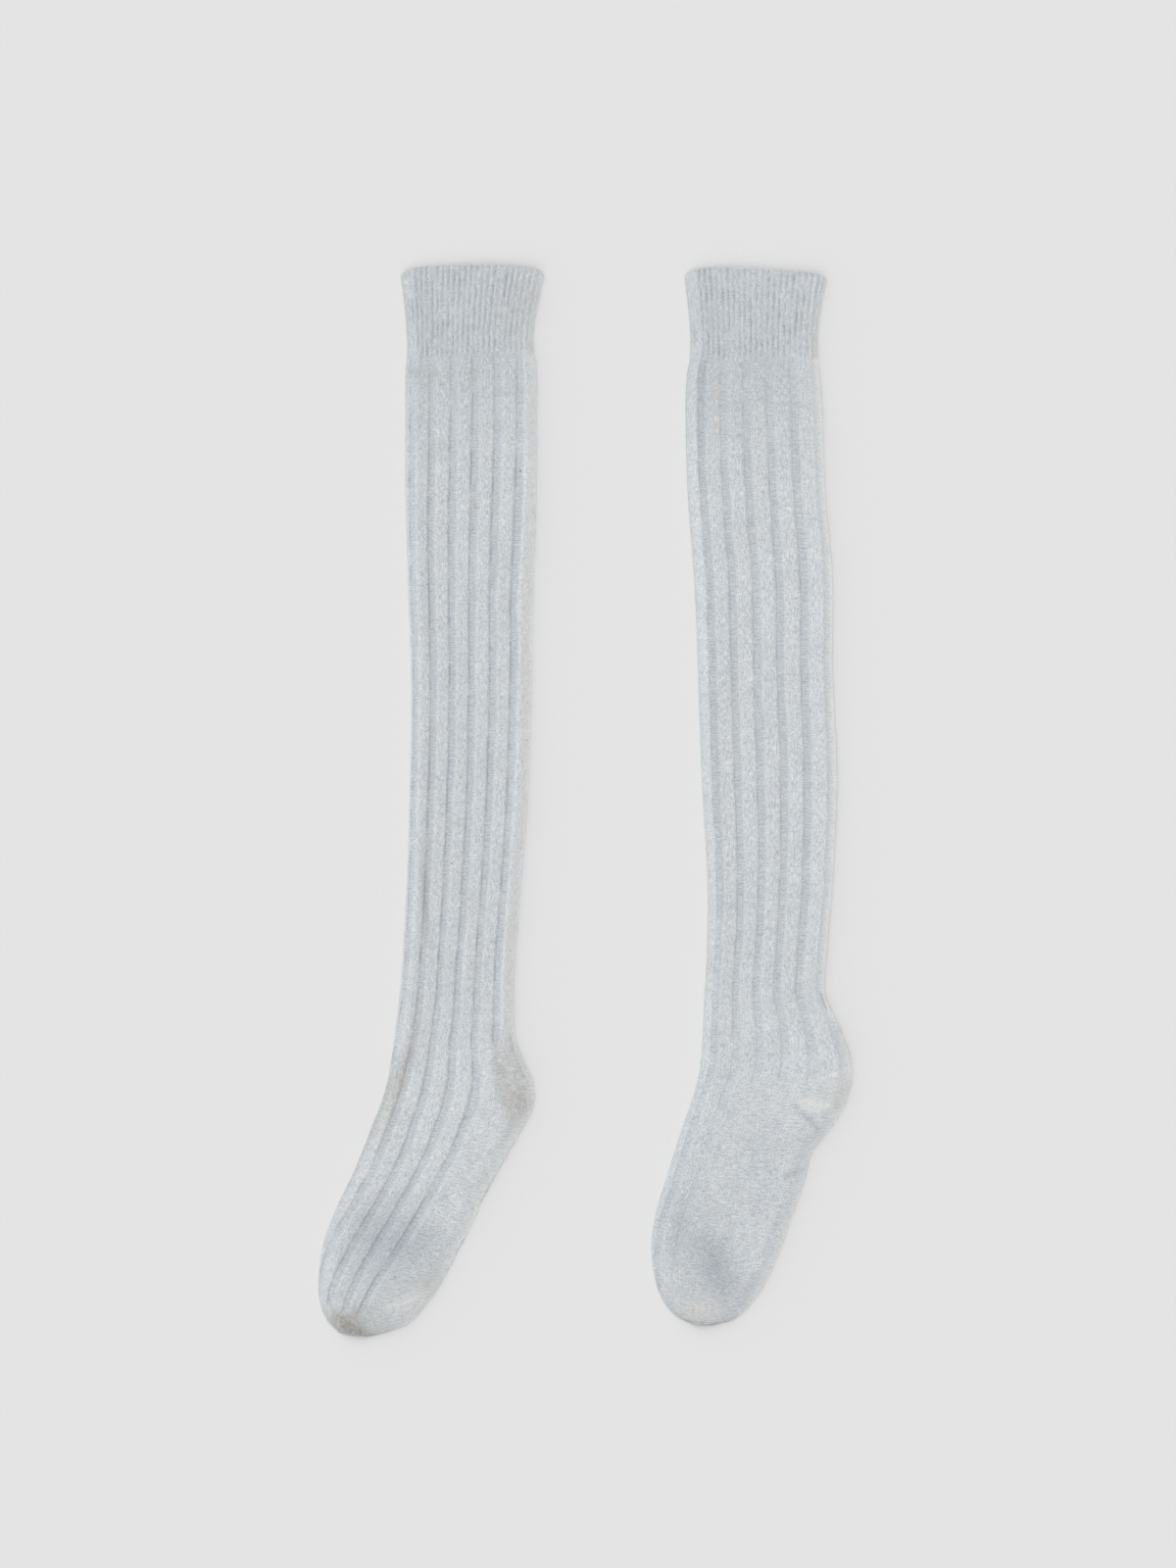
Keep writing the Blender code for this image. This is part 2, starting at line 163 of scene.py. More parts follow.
LEFT = Sock(
    side="left",
    place=(-76.65, 354.5),
    bow_peak=0.6,
    sole_from=43,
    upper_wales=52.0,
    dense=(2, 58),
    rib_height=0.7,
    rib_shade=1.0,
    front_furrow=8,
    front_depth=0.3,
    heel_ribs=0.9,
    foot_ribs=0.95,
    seed=11,
    sections=(
        Section("cuff edge", -48.8, 2.2, 48.8, 1.6, 7.4, 2.8, 6.0),
        Section("cuff flare", -47.0, -10.5, 46.0, -10.5, 6.0, 3.0, 6.0),
        Section("cuff middle", -44.5, -37.5, 41.5, -36.0, 3.0, 3.3, 6.0),
        Section("cuff end", -44.5, -52.0, 41.5, -47.5, 1.5, 3.4, 6.0),
        Section("leg top", -44.8, -55.5, 41.9, -51.0, 1.5, 3.4, 6.3),
        Section("below cuff", -45.5, -62.5, 43.5, -58.5, 1.0, 3.5, 6.6),
        Section("thigh", -45.5, -90.5, 43.5, -90.5, 0.0, 3.6, 6.6),
        Section("above knee", -45.5, -144.0, 43.5, -144.0, 0.0, 4.0, 6.5),
        Section("knee", -43.5, -210.5, 41.0, -210.5, 0.0, 4.6, 6.5),
        Section("upper calf", -41.5, -277.5, 40.0, -277.5, 0.0, 4.8, 6.5),
        Section("calf", -42.5, -344.0, 38.0, -344.0, 0.0, 4.8, 6.5),
        Section("lower calf", -44.5, -410.5, 33.0, -410.5, 0.0, 4.7, 6.5),
        Section("above ankle", -48.5, -477.5, 28.0, -477.5, 0.0, 4.6, 6.8),
        Section("ankle", -51.5, -504.0, 28.5, -504.0, 0.0, 4.7, 7.2),
        Section("heel line", -53.5, -520.0, 30.0, -518.5, 0.0, 5.0, 7.6),
        Section("heel top", -55.5, -532.0, 35.5, -531.5, 0.0, 5.2, 8.0),
        Section("heel back", -58.0, -546.0, 41.5, -546.5, 0.0, 5.6, 8.2),
        Section("heel tip", -62.0, -560.0, 41.5, -562.0, 0.0, 6.0, 8.2),
        Section("heel under", -67.5, -573.5, 34.5, -576.5, 0.0, 6.4, 8.1),
        Section("arch", -72.0, -585.5, 24.5, -594.0, 0.0, 6.8, 8.0),
        Section("instep", -81.0, -607.5, 10.5, -619.5, 0.0, 7.6, 7.8),
        Section("ball", -91.5, -629.5, -2.5, -646.5, 0.0, 8.6, 7.6),
        Section("toe roots", -101.0, -654.5, -15.5, -672.0, 0.0, 10.8, 7.6),
        Section("toe cap", -104.5, -679.5, -27.5, -692.0, 0.0, 14.3, 7.4),
        Section("toes", -103.0, -698.5, -42.5, -709.5, 0.0, 16.3, 6.8),
        Section("toe end", -97.6, -709.6, -57.0, -716.0, 0.0, 16.8, 5.6),
        Section("tip", -91.0, -716.2, -68.0, -718.6, 0.0, 16.8, 4.2),
    ),
    creases=(
        Crease(17.0, -520.0, 19.0, -549.0, 3.0, -0.8),
        Crease(19.0, -549.0, 32.0, -576.0, 3.0, -0.8),
        Crease(-92.0, -651.0, -24.0, -656.0, 13.0, -1.3),
        Crease(-20.0, -668.0, -46.0, -692.0, 3.0, -0.7),
        Crease(-24.0, -680.0, -62.0, -704.0, 6.0, 0.6),
        Crease(22.0, -304.0, 40.0, -306.0, 3.0, -0.4),
        Crease(-43.0, -199.0, -27.0, -199.5, 2.5, -0.4),
        Crease(-46.0, -690.0, -66.0, -700.0, 2.0, -0.5),
        Crease(-66.0, -700.0, -84.0, -706.0, 2.0, -0.4),
        Crease(-96.5, -692.0, -91.5, -709.0, 1.8, -0.9),
        Crease(-91.5, -709.0, -82.0, -715.0, 1.8, -0.7),
        Crease(23.0, -537.0, 38.0, -541.0, 2.2, 0.3),
        Crease(-66.0, -592.0, -40.0, -600.0, 5.0, -0.3),
    ),
)

RIGHT = Sock(
    side="right",
    place=(115.85, 353.0),
    bow_peak=0.33,
    sole_from=50,
    upper_wales=50.0,
    dense=(31, 86),
    rib_height=0.45,
    rib_shade=0.6,
    front_furrow=40,
    front_depth=1.0,
    heel_ribs=0.6,
    foot_ribs=0.35,
    seed=23,
    sections=(
        Section("cuff edge", -48.2, 2.8, 48.4, 0.4, 6.6, 33.4, 6.0),
        Section("cuff flare", -46.7, -9.5, 46.0, -10.5, 5.2, 33.2, 6.0),
        Section("cuff middle", -44.5, -32.5, 42.5, -32.5, 2.5, 33.0, 6.0),
        Section("cuff end", -44.5, -51.0, 42.5, -50.5, 1.0, 32.9, 6.0),
        Section("leg top", -44.9, -54.5, 42.7, -54.0, 1.0, 32.9, 6.3),
        Section("below cuff", -46.5, -62.5, 43.5, -61.5, 0.5, 32.9, 6.6),
        Section("thigh", -47.5, -86.0, 45.5, -86.0, 0.0, 32.9, 6.6),
        Section("above knee", -46.0, -142.5, 47.5, -142.5, 0.0, 32.9, 6.5),
        Section("knee", -41.5, -202.5, 52.5, -202.5, 0.0, 33.0, 6.5),
        Section("upper calf", -39.0, -262.5, 52.5, -262.5, 0.0, 33.2, 6.5),
        Section("calf", -36.5, -336.0, 55.5, -336.0, 0.0, 33.4, 6.5),
        Section("lower calf", -32.5, -409.5, 52.5, -409.5, 0.0, 33.5, 6.5),
        Section("above ankle", -33.0, -459.5, 48.5, -459.5, 0.0, 33.7, 6.8),
        Section("ankle", -34.5, -484.0, 47.5, -484.0, 0.0, 33.8, 7.2),
        Section("heel rise", -35.5, -506.0, 56.0, -504.0, 0.0, 33.8, 7.8),
        Section("heel top", -37.0, -529.5, 64.5, -526.5, 0.0, 33.8, 8.0),
        Section("heel line", -39.5, -544.0, 65.5, -542.0, 0.0, 33.8, 8.2),
        Section("heel tip", -44.5, -560.5, 60.5, -560.5, 0.0, 34.0, 8.2),
        Section("heel under", -50.0, -576.0, 49.5, -578.5, 0.0, 34.2, 8.0),
        Section("arch", -54.5, -590.0, 39.0, -591.5, 0.0, 34.2, 7.8),
        Section("instep", -60.5, -609.5, 33.5, -611.5, 0.0, 34.4, 7.8),
        Section("ball", -66.5, -628.5, 24.5, -637.5, 0.0, 34.8, 7.8),
        Section("toe roots", -70.5, -650.5, 16.0, -660.5, 0.0, 35.6, 7.8),
        Section("toe cap", -69.5, -671.5, 6.5, -681.5, 0.0, 36.4, 7.6),
        Section("toes", -64.5, -690.0, -5.0, -698.0, 0.0, 36.8, 6.8),
        Section("toe end", -54.8, -703.2, -15.5, -706.6, 0.0, 36.8, 5.6),
        Section("tip", -44.5, -708.5, -27.0, -709.4, 0.0, 36.8, 4.2),
    ),
    creases=(
        Crease(21.0, -542.0, 64.0, -534.0, 2.5, -0.8),
        Crease(29.0, -549.0, 54.0, -558.5, 3.5, 1.0),
        Crease(44.0, -547.0, 60.0, -552.0, 2.0, -0.6),
        Crease(28.0, -560.5, 47.0, -580.5, 2.1, -1.3),
        Crease(22.0, -566.0, 38.0, -582.0, 4.0, 0.4),
        Crease(49.0, -555.5, 60.0, -557.0, 1.8, -0.8),
        Crease(44.5, -568.0, 52.0, -566.0, 2.0, -0.6),
        Crease(21.0, -608.5, 31.0, -603.5, 2.0, -1.3),
        Crease(19.0, -604.5, 38.0, -599.5, 2.2, 1.2),
        Crease(-50.0, -624.0, -22.0, -640.0, 6.0, 0.7),
        Crease(-46.0, -634.0, -24.0, -654.0, 12.0, -0.9),
        Crease(-20.0, -666.0, -13.0, -698.0, 10.0, -1.1),
    ),
)

# A mark is a soft oval patch in the wool, of one of three kinds: soil, wear and painted light, and painted
# shade.
# It gives where it is, its half width and length, its turn in degrees from the leg's line, and how strong it
# is.
Mark = namedtuple("Mark", "kind x y half_width half_length turn strength")
MARK_KINDS = ("soil", "wear_and_painted_light", "grey")
MARKS = (
    # Left heel.
    Mark("soil", -46.5, -190.0, 13.0, 30.0, -6.0, 0.35),
    Mark("soil", -57.0, -181.0, 4.5, 20.0, 7.0, 0.5),
    Mark("soil", -46.0, -205.0, 9.0, 12.0, 0.0, 0.45),
    # Left toe.
    Mark("soil", -157.0, -351.0, 15.0, 8.0, 15.0, 0.55),
    Mark("soil", -159.0, -358.0, 4.5, 14.0, 60.0, 0.8),
    Mark("soil", -167.0, -350.0, 2.5, 12.0, 35.0, 0.5),
    Mark("soil", -158.0, -361.0, 12.0, 3.0, 0.0, 0.4),
    # Along the left ankle and instep.
    Mark("soil", -108.0, -68.5, 2.5, 30.0, 4.0, 0.5),
    Mark("soil", -125.0, -190.0, 3.5, 36.0, -17.0, 0.75),
    Mark("soil", -136.0, -205.0, 3.0, 40.0, -20.0, 0.45),
    # Left cuff and leg.
    Mark("soil", -44.0, 340.0, 12.0, 16.0, 0.0, 0.22),
    Mark("soil", -116.0, 290.5, 3.5, 6.0, 0.0, 0.3),
    Mark("soil", -102.7, 291.0, 2.5, 4.5, 0.0, 0.3),
    Mark("soil", -74.7, 291.5, 3.5, 4.0, 0.0, 0.35),
    Mark("soil", -74.7, 200.2, 2.5, 4.0, 0.0, 0.4),
    Mark("soil", -108.0, -328.0, 8.0, 6.0, 0.0, 0.4),
    # Right toe: a little soil, and a paler patch of painted light where the toe turns away from the window
    # light.
    Mark("soil", 78.0, -347.0, 11.0, 7.0, 10.0, 0.12),
    Mark("wear_and_painted_light", 78.0, -346.0, 16.0, 9.0, 10.0, 0.8),
    # Right heel: soil, paler patches, painted shade at the heel and shadow lines along its creases, and a
    # faint greying over the foot.
    Mark("soil", 171.0, -197.0, 9.0, 9.0, 0.0, 0.3),
    Mark("wear_and_painted_light", 170.0, -192.0, 9.0, 12.0, 0.0, 0.35),
    Mark("grey", 171.0, -162.0, 8.0, 13.0, 0.0, 0.4),
    Mark("grey", 112.0, -262.0, 45.0, 75.0, -25.0, 0.2),
    Mark("wear_and_painted_light", 154.0, -205.0, 15.0, 4.0, -11.0, 0.9),
    Mark("grey", 153.4, -217.5, 1.8, 13.0, 43.5, 0.6),
    Mark("grey", 141.4, -253.8, 1.6, 5.5, -61.0, 0.5),
    # Left foot, at and behind the toes: a paler patch, and painted shade in the hollow behind the toes.
    Mark("wear_and_painted_light", -115.0, -338.0, 17.0, 8.0, 25.0, 0.7),
    Mark("grey", -135.0, -300.0, 30.0, 26.0, -30.0, 0.8),
    Mark("grey", -106.0, -303.0, 16.0, 16.0, 0.0, 0.25),
    # Right foot: painted shade in the hollow behind the toes and along the foot.
    Mark("grey", 88.0, -315.0, 15.0, 32.0, 32.0, 0.8),
    Mark("grey", 60.0, -290.0, 8.0, 40.0, -12.0, 0.35),
    Mark("grey", 152.0, -252.0, 6.0, 12.0, 0.0, 0.4),
)

# Specks are tiny bits of darker or warmer fibre caught in the wool.
Speck = namedtuple("Speck", "tint x y radius")
SPECKS = (
    Speck("2e211f", -44.0, 224.2, 0.75),
    Speck("3a3531", -90.7, -42.5, 0.6),
    Speck("d3cfc9", 89.3, 276.2, 2.4),
    Speck("d2cfca", 88.5, 255.5, 3.0),
)

FIBRES_A_SOCK = 48000
FIBRE_LENGTH = (0.8, 2.2)
FOLD_FIBRES = 9.0  # how much closer they stand along the folds
FOLD_REACH = 1.6  # and how much longer they are
FIBRE_RADIUS = 0.055  # a wool fibre is about 0.03 mm thick, so this is a small tuft of them
RADIUS_SPREAD = (0.7, 1.3)
FIBRE_STAND = (0.12, 0.9)  # how steeply they stand
FIBRE_LEAN = 0.6  # and how much less the steep ones lean over
FIBRE_ROOT = 0.15  # how deep they start in the skin
FIBRES_FROM = 0.8  # the lowest place on the skin that carries them
FIBRE_FLOOR = 0.02
FIBRE_SEED = 5


def smooth_step(x):
    x = np.clip(x, 0.0, 1.0)
    return x * x * (3.0 - 2.0 * x)


def mix(a, b, share):
    return a + (b - a) * share


# What the knit is like at a point, from 0 to 1: sunk in a furrow, plain, at a rib's foot, on the back fold's
# light edge, in or near the cuff, on either fold, and on the front fold. The wool's colour carries painted
# shade in the furrows, at the rib's foot, near the cuff and on the front fold, and painted light on the back
# edge.
KNIT_KINDS = ("furrow", "plain", "foot", "edge", "cuff", "fold", "front")

# ---- The form, in millimetres.


def sizes_of(sock):
    """One row of numbers for each section: the columns that change smoothly from section to section."""
    return np.array([section[1:] for section in sock.sections])


def distances(sock):
    """How far down the sock each section lies, along the line of their middles."""
    sizes = sizes_of(sock)
    middles = (sizes[:, 0:2] + sizes[:, 2:4]) / 2
    steps = np.linalg.norm(np.diff(middles, axis=0), axis=1)
    return np.concatenate([[0.0], np.cumsum(steps)])


def distance_to(sock, name):
    """How far down the sock the section with this name lies."""
    return distances(sock)[[section.name for section in sock.sections].index(name)]


def sizes_at(sock, down):
    """The section sizes at each distance down the sock, on a smooth curve through the table."""
    sizes = sizes_of(sock)
    at = distances(sock)
    last = len(at) - 1
    above = np.maximum(np.arange(last + 1) - 1, 0)
    below = np.minimum(np.arange(last + 1) + 1, last)
    slope = (sizes[below] - sizes[above]) / (at[below] - at[above])[:, None]
    i = np.clip(np.searchsorted(at, down, side="right") - 1, 0, last - 1)
    span = at[i + 1] - at[i]
    t = ((down - at[i]) / span)[:, None]
    share = 2 * t**3 - 3 * t**2 + 1
    leave = (t**3 - 2 * t**2 + t) * span[:, None]
    reach = (t**3 - t**2) * span[:, None]
    return sizes[i] * share + sizes[i + 1] * (1 - share) + slope[i] * leave + slope[i + 1] * reach


def columns_of(sock):
    """The wales that carry a column of points: close on the upper side, and at each edge of a rib below."""
    first, last = sock.dense
    close = first + np.arange((last - first) * POINTS_A_WALE + 1) / POINTS_A_WALE
    under = []
    for furrow in range(0, 3 * WALES, RIB_REPEAT):
        for wale in UNDER_WALES:
            if last + 0.5 < furrow + wale < first + WALES - 0.5:
                under.append(furrow + wale)
    return np.concatenate([close, under, [first + WALES]])


def uneven(sock, wales, down, kind):
    """Smooth noise on the tube, of this kind's amount and size. It closes round the tube."""
    radius = WALES * WALE / math.tau
    turn = np.asarray(wales) * math.tau / WALES
    x = (np.cos(turn) * radius / kind.size)[None, :] + np.zeros((len(down), 1))
    y = (np.sin(turn) * radius / kind.size)[None, :] + np.zeros((len(down), 1))
    z = (np.asarray(down) / kind.size)[:, None] + np.zeros((1, len(wales)))
    z = z + sock.seed * SOCK_SEED_STEP + kind.seed * KNIT_SEED_STEP
    places = np.stack([x, y, z], axis=-1).reshape(-1, 3).tolist()
    found = np.array([noise.noise(place) for place in places])
    return kind.amount * found.reshape(x.shape)


def past(down, line, lead, length):
    """From 0 to 1 down the sock, from this far before a line, over this length."""
    return smooth_step((down - line + lead) / length)


def knit_shares(sock, wales, down):
    """Shares from 0 to 1 at each point: how high it is on a wide and on a narrow rib, how much it belongs to
    the cuff and to the part with no ribs, and how deep in the painted shade at a rib's foot."""
    cuff_end = distance_to(sock, "cuff end")
    heel_line = distance_to(sock, "heel line")
    cuff = 1.0 - past(down, cuff_end, *CUFF_ENDS)[:, None]
    in_sole = (wales - sock.sole_from + 0.5) % WALES
    sole = smooth_step(in_sole / SOLE_EDGE) * smooth_step((HALF + 1.0 - in_sole) / SOLE_EDGE)
    after_heel = past(down, heel_line, *SOLE_STARTS)[:, None]
    toe = past(down, distance_to(sock, "toes"), *TOE_STARTS)[:, None]
    plain = np.maximum(sole[None, :] * after_heel, toe)

    # How much of their height the ribs have.
    full = mix(RIBS_AT_CUFF, 1.0, past(down, cuff_end, *RIBS_RISE))
    full = mix(full, sock.heel_ribs, past(down, heel_line, *HEEL_RIBS_START))
    full = mix(full, sock.foot_ribs, past(down, heel_line, *FOOT_RIBS_START))[:, None]
    from_front = np.abs((wales - sock.front_furrow + HALF) % WALES - HALF)
    front = smooth_step((FRONT_REACH - from_front) / FRONT_FADE)[None, :] * sock.front_depth
    full = mix(full, 1.0, front)
    ribless = np.maximum(plain, 1.0 - full)

    wander = uneven(sock, wales, down, SLOW_WANDER) + uneven(sock, wales, down, QUICK_WANDER)
    from_furrow = (wales[None, :] + wander + RIB_REPEAT / 2) % RIB_REPEAT - RIB_REPEAT / 2
    steep = smooth_step((-from_furrow - STEEP_FOOT) / STEEP_WALL)
    gentle_foot = GENTLE_FOOT + uneven(sock, wales, down, GENTLE_CHANGE)
    gentle = smooth_step((from_furrow - gentle_foot) / GENTLE_WALL)
    wide = mix(np.where(from_furrow < 0, steep, gentle), 1.0, ribless)

    # Painted shade at the foot of each steep rib, which darkens the wool's colour.
    shade = np.clip(FOOT_SHADE_STRENGTH + uneven(sock, wales, down, SHADE_CHANGE), 0.0, 1.0)
    foot = np.exp(-(((from_furrow + STEEP_FOOT + FOOT_SHADE_AT) / FOOT_SHADE) ** 2))
    foot = foot * shade * sock.rib_shade * (1 - ribless) * (1 - cuff)

    from_groove = np.abs((wales[None, :] + CUFF_WANDER * wander + 1.0) % 2 - 1.0)
    groove_depth = CUFF_GROOVE_DEPTH + uneven(sock, wales, down, CUFF_DEPTH_CHANGE)
    narrow = 1.0 - np.exp(-(from_groove / CUFF_GROOVE) ** 2) * groove_depth
    return wide, narrow, np.broadcast_to(cuff, wide.shape), plain, foot


def across_fold(width, slope, rise, share, taper=1.0):
    """A point of one layer's profile, from share 0 on one fold to 1 on the other. Each end is a quarter
    ellipse, or with taper 2 a parabola, which is leaner.

    Gives its distance across, its height above the fold and the outward normal (across, up)."""
    slope = np.minimum(slope, MOST_SLOPE * width)
    quarter = math.pi / 2 * np.sqrt((slope**2 + rise**2) / 2)
    run = width - 2 * slope
    along = share * (run + 2 * quarter)
    from_end = np.minimum(along, run + 2 * quarter - along)
    inward = np.minimum(from_end / quarter, 1.0) ** FOLD_CREEP
    inset = slope * inward + np.maximum(from_end - quarter, 0.0)
    side = np.where(along < run / 2 + quarter, -1.0, 1.0)
    across = np.where(side < 0, inset, width - inset)
    rounded = np.maximum(inward * (2 - inward), 1e-9)
    out_across = taper * rise * (1 - inward) * rounded ** (taper / 2 - 1)
    out_up = slope + np.zeros_like(out_across)
    size = np.hypot(out_across, out_up)
    return across, rise * rounded ** (taper / 2), side * out_across / size, out_up / size


def crease_height(creases, x, y):
    """The height that the creases add to the upper layer at points of the plan."""
    total = np.zeros_like(x)
    for crease in creases:
        line_x = crease.x1 - crease.x0
        line_y = crease.y1 - crease.y0
        along = ((x - crease.x0) * line_x + (y - crease.y0) * line_y) / (line_x**2 + line_y**2)
        along = np.clip(along, 0.0, 1.0)
        away_x = x - crease.x0 - line_x * along
        away_y = y - crease.y0 - line_y * along
        total += crease.height * np.exp(-(away_x**2 + away_y**2) / crease.width**2)
    return total


def bow_share(sock, q):
    """The share of the bow's height at share q of the way across: an arch with quickly turned ends."""
    away = np.abs(q - sock.bow_peak) / np.where(q < sock.bow_peak, sock.bow_peak, 1 - sock.bow_peak)
    return CORNER_SHARE * (1 - away**CORNER_POWER) + (1 - CORNER_SHARE) * (1 - away**2)


def skin(sock, wales, down, inside=False, narrowing=None):
    """Points of the sock's outer or inner skin, one row for each distance down, and the knit of each point.

    narrowing shrinks each row towards its own middle, for the closed end of the toe."""
    sizes = sizes_at(sock, down)
    front = sizes[:, 0:2]
    back = sizes[:, 2:4]
    if narrowing is not None:
        middle = (front + back) / 2
        front = mix(middle, front, narrowing[:, None])
        back = mix(middle, back, narrowing[:, None])
        sizes[:, 6] *= mix(TIP_LOFT, 1.0, narrowing)
    bow = sizes[:, 4:5]
    turn = sizes[:, 5:6]
    loft = sizes[:, 6:7]
    width = np.linalg.norm(back - front, axis=1)[:, None]
    way = (back - front) / width
    up_leg = np.stack([-way[:, 1], way[:, 0]], axis=1)
    around = (wales[None, :] - turn) % WALES
    upper = around <= sock.upper_wales
    share = np.where(upper, around / sock.upper_wales, (WALES - around) / (WALES - sock.upper_wales))
    from_heel = (down - distance_to(sock, "heel tip") + HEEL_LEAD) / HEEL_REACH
    crowding = (CROWDING + HEEL_CROWDING * np.exp(-(from_heel**2)))[:, None]
    share = share - crowding * share * (1 - share)
    gap = np.maximum(loft - UNDER_WALL - UPPER_WALL, LEAST_GAP)
    if inside:
        across, rise, out_across, out_up = across_fold(width - 2 * FOLD_WALL, gap / 2, gap / 2, share)
        across = across + FOLD_WALL
        middle_height = UNDER_WALL + gap / 2
        flatness = rise / (gap / 2)
    else:
        lip = np.minimum(LIP, LIP_SHARE * loft)
        on_foot = past(down, distance_to(sock, "heel line"), *FLAT_FOLD_STARTS)[:, None]
        above = across_fold(width, mix(LEG_SLOPE, FOOT_SLOPE, on_foot), loft - lip, share, FOLD_TAPER)
        below = across_fold(width, lip, lip, share)
        across, rise, out_across, out_up = (np.where(upper, *pair) for pair in zip(above, below))
        middle_height = lip
        flatness = rise / np.where(upper, loft - lip, lip)
    bowed = bow * bow_share(sock, across / width)
    x = front[:, 0:1] + way[:, 0:1] * across + up_leg[:, 0:1] * bowed
    y = front[:, 1:2] + way[:, 1:2] * across + up_leg[:, 1:2] * bowed
    from_fold = np.minimum(across, width - across)
    puff = FOLD_PUFF * np.exp(-(((from_fold - FOLD_PUFF_AT) / FOLD_PUFF_WIDTH) ** 2))
    raised = flatness * (crease_height(sock.creases, x, y) + puff)
    height = middle_height + rise + raised
    if inside:
        between = np.maximum(LEAST_GAP * flatness, np.minimum(height - UNDER_WALL, MOST_GAP))
        z = np.where(upper, UNDER_WALL + between, middle_height - rise)
        return np.stack([x, y, z], axis=-1), {kind: np.zeros_like(z) for kind in KNIT_KINDS}
    wide, narrow, cuff, plain, foot = knit_shares(sock, wales, down)
    sunk = mix(sock.rib_height * (1 - wide), CUFF_RIB_HEIGHT * (1 - narrow), cuff)
    wale_middle = np.cos(wales * math.tau)[None, :]
    sunk = sunk - WALE_RELIEF * wale_middle * (1 - cuff)
    sunk = sunk - uneven(sock, wales, down, LUMPS) - uneven(sock, wales, down, BUMPS)
    sunk = sunk * np.where(upper, 1.0, UNDER_RELIEF)
    fold = 1 - smooth_step(from_fold / FOLD_PLAIN)
    sunk = sunk * (1 - fold)
    if narrowing is not None:
        sunk = sunk * narrowing[:, None]
    x = x - way[:, 0:1] * out_across * sunk
    y = y - way[:, 1:2] * out_across * sunk
    z = np.where(upper, height - out_up * sunk, middle_height - rise + out_up * np.maximum(sunk, 0.0))
    # Painted shade in the furrows and in the cuff's grooves, carried by the furrow share.
    groove = (1 - narrow) * (CUFF_GROOVE_PAINTED_SHADE + uneven(sock, wales, down, CUFF_GROOVE_SHADE_CHANGE))
    furrow = mix(1 - wide, np.clip(groove, 0.0, 1.0), cuff)
    # Painted light along the back fold, which faces away from the window light.
    edge = np.where(out_across > 0, 1 - smooth_step(from_fold / PAINTED_LIGHT_REACH), 0.0)
    edge = edge * BACK_FOLD_PAINTED_LIGHT * (1 - PAINTED_LIGHT_LOST_IN_CUFF * cuff)
    # Painted shade: the front fold, which faces the window light, is painted darker.
    front_fold_shade = np.where(out_across < 0, fold, 0.0)
    # Painted shade: the cuff, and the top of the leg where the wide ribs stand lower, are painted darker.
    painted_cuff_shade = np.maximum(cuff, 1 - past(down, distance_to(sock, "cuff end"), *RIBS_RISE)[:, None])
    knit = (furrow, plain * (1 - cuff), foot, edge, painted_cuff_shade, fold, front_fold_shade)
    return np.stack([x, y, np.maximum(z, 0.0)], axis=-1), dict(zip(KNIT_KINDS, knit))


def rim_rows(edge, lining, narrow):
    """The rounded knit edge of the cuff, between the last rows of the outer and inner skins."""
    rows = []
    for step in RIM_STEPS:
        row = mix(edge, lining, step)
        row[:, 1] += RIM_BULGE * math.sin(math.pi * step) * (RIM_IN_GROOVE + RIM_ON_RIB * narrow)
        rows.append(row)
    return np.array(rows)


def sock_rows(sock, wales):
    """All rows of points of one closed wall, from the toe's tip up the outside and down the inside.

    Also gives the knit of each point, the course number of each row, and how many rows are outer ones."""
    length = distances(sock)[-1]
    down = np.linspace(length, 0.0, OUTER_ROWS)
    outer, outer_knit = skin(sock, wales, down)
    angles = np.radians(np.array(TIP_STEPS[::-1], float))
    tip, tip_knit = skin(sock, wales, np.full(len(angles), length), narrowing=np.cos(angles))
    ends = sizes_at(sock, np.array([length - TIP_AIM, length]))
    middles = (ends[:, 0:2] + ends[:, 2:4]) / 2
    ahead = (middles[1] - middles[0]) / np.linalg.norm(middles[1] - middles[0])
    tip[:, :, 0:2] += ahead * TIP_BULGE * np.sin(angles)[:, None, None]
    inner_down = np.array(INNER_STEPS, float)
    inner, inner_knit = skin(sock, wales, inner_down, inside=True)
    narrow = knit_shares(sock, wales, np.array([0.0]))[1][0]
    rim = rim_rows(outer[-1], inner[0], narrow)
    points = np.concatenate([tip, outer, rim, inner])
    none = np.zeros(rim.shape[:2])
    knit = {}
    for kind in KNIT_KINDS:
        knit[kind] = np.concatenate([tip_knit[kind], outer_knit[kind], none, inner_knit[kind]])
    tip_down = length + TIP_BULGE * np.sin(angles)
    rim_down = -RIM_LENGTH * np.array(RIM_STEPS)
    courses = np.concatenate([tip_down, down, rim_down, -RIM_LENGTH - inner_down]) / COURSE
    return points, knit, courses, len(angles) + OUTER_ROWS


# ---- Meshes.


def mark_share(kind, x, y):
    """How strong the marks of one kind are at points of the pair's plan."""
    total = np.zeros_like(x)
    for mark in MARKS:
        if mark.kind != kind:
            continue
        turn = math.radians(mark.turn)
        across = (x - mark.x) * math.cos(turn) + (y - mark.y) * math.sin(turn)
        along = (y - mark.y) * math.cos(turn) - (x - mark.x) * math.sin(turn)
        away = (across / mark.half_width) ** 2 + (along / mark.half_length) ** 2
        total += mark.strength * np.exp(-away)
    return np.clip(total, 0.0, 1.0)


def add_values(mesh, name, values):
    made = mesh.attributes.new(name, "FLOAT", "POINT")
    made.data.foreach_set("value", values.astype(np.float32).ravel())


